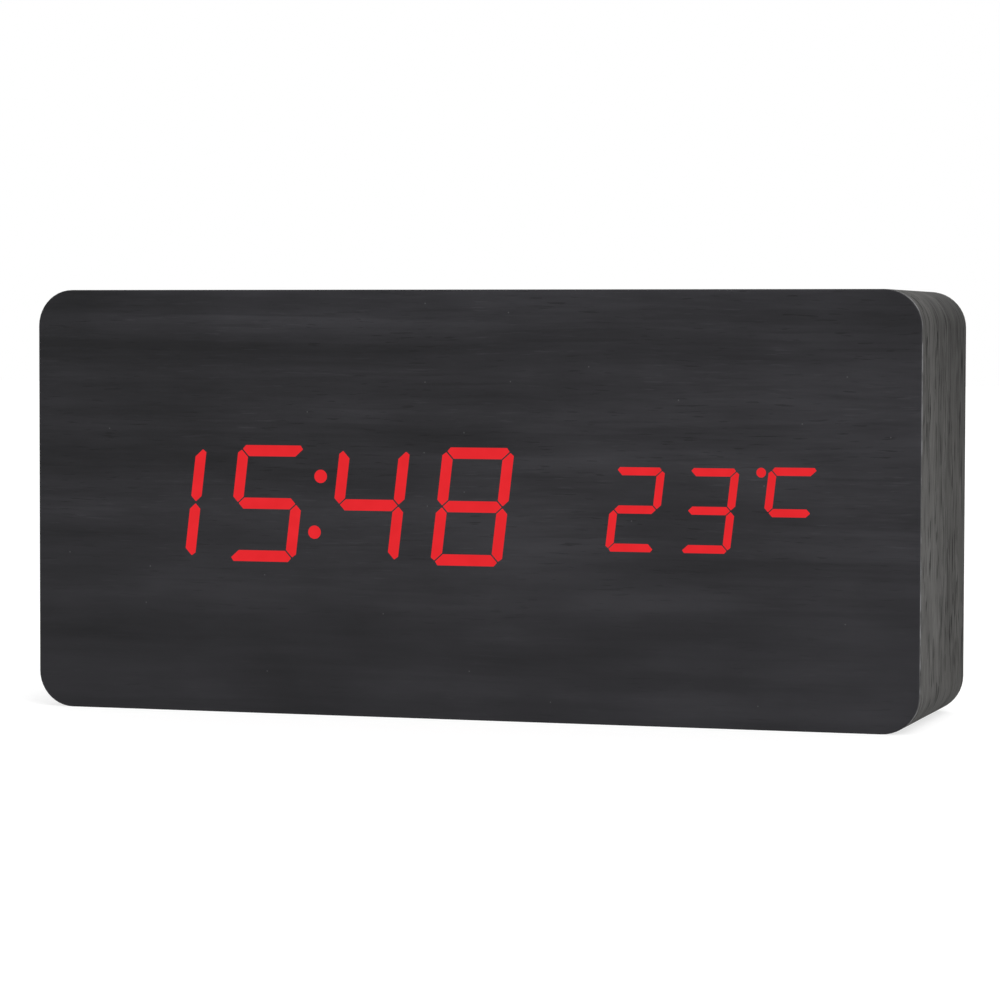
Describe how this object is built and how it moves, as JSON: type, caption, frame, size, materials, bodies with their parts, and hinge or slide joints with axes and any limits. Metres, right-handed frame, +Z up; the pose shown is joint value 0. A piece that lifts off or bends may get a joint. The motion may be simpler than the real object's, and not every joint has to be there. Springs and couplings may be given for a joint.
{
  "type": "digital led desk clock",
  "caption": "Block-shaped desk clock in dark wood-grain film, with red LED time and temperature figures, a rear panel, hinged battery door, push buttons and a power socket.",
  "frame": {"origin": "middle of the underside of the block", "axes": "+Z up, the figures face -Y, +X to the right as seen by someone reading the clock"},
  "size_m": [0.15, 0.04, 0.07],
  "materials": {
    "fibreboard": "matte",
    "front_film": "satin wood-grain film",
    "edge_film": "satin wood-grain film",
    "back_film": "satin wood-grain film",
    "lit_red": "lit",
    "diffuser": "translucent",
    "mask_plastic": "matte",
    "circuit_board": "solder mask",
    "led_chip": "matte",
    "chip_plastic": "matte",
    "screw_steel": "black zinc",
    "panel_plastic": "fine spark texture",
    "door_plastic": "fine spark texture",
    "battery_jacket": "printed sleeve, plain",
    "contact_metal": "nickel plated",
    "crystal_can": "bright",
    "buzzer_plastic": "matte",
    "capacitor_can": "sleeved can",
    "resistor_ceramic": "matte",
    "microphone_can": "bright",
    "probe_resin": "gloss resin",
    "socket_plastic": "matte",
    "switch_body": "matte",
    "button_plastic": "satin",
    "stem_plastic": "matte",
    "red_lead": "gloss insulation",
    "black_lead": "gloss insulation",
    "ribbon_socket": "matte",
    "ribbon": "matte insulation"
  },
  "bodies": {
    "case": {"case_block": "fibreboard", "front_veneer": "front_film", "edge_veneer": "edge_film", "back_veneer": "back_film", "hour_digits": "lit_red", "minute_digits": "lit_red", "colon_dots": "lit_red", "temperature_digits": "lit_red", "degree_dot": "lit_red", "celsius_sign": "lit_red", "diffuser_sheet": "diffuser", "segment_mask": "mask_plastic", "display_board": "circuit_board", "segment_leds": "led_chip", "led_driver_chips": "chip_plastic", "display_screws": "screw_steel", "rear_panel": "panel_plastic", "panel_screws": "screw_steel", "battery_1": "battery_jacket", "battery_2": "battery_jacket", "battery_3": "battery_jacket", "battery_4": "battery_jacket", "contact_springs": "contact_metal", "contact_plates": "contact_metal", "control_board": "circuit_board", "control_board_screws": "screw_steel", "clock_chip": "chip_plastic", "quartz_crystal": "crystal_can", "alarm_buzzer": "buzzer_plastic", "capacitors": "capacitor_can", "resistors": "resistor_ceramic", "microphone": "microphone_can", "temperature_probe": "probe_resin", "power_socket": "socket_plastic", "button_switches": "switch_body", "positive_lead": "red_lead", "negative_lead": "black_lead", "ribbon_sockets": "ribbon_socket", "ribbon_cable": "ribbon"},
    "door": {"battery_door": "door_plastic", "door_latch": "door_plastic"},
    "set_key": {"set_button": "button_plastic", "set_stem": "stem_plastic"},
    "up_key": {"up_button": "button_plastic", "up_stem": "stem_plastic"},
    "down_key": {"down_button": "button_plastic", "down_stem": "stem_plastic"}
  },
  "joints": [
    {"name": "door_hinge", "type": "hinge", "parent": "case", "child": "door", "pos_m": [-0.034, 0.019, 0.0117], "axis": [-1, 0, 0], "range_deg": [0, 80], "deforming": ["door_latch"]},
    {"name": "set_press", "type": "slide", "parent": "case", "child": "set_key", "axis": [0, -1, 0], "range_m": [0, 0.0003], "stiffness_N_per_m": 800},
    {"name": "up_press", "type": "slide", "parent": "case", "child": "up_key", "axis": [0, -1, 0], "range_m": [0, 0.0003], "stiffness_N_per_m": 800},
    {"name": "down_press", "type": "slide", "parent": "case", "child": "down_key", "axis": [0, -1, 0], "range_m": [0, 0.0003], "stiffness_N_per_m": 800}
  ]
}
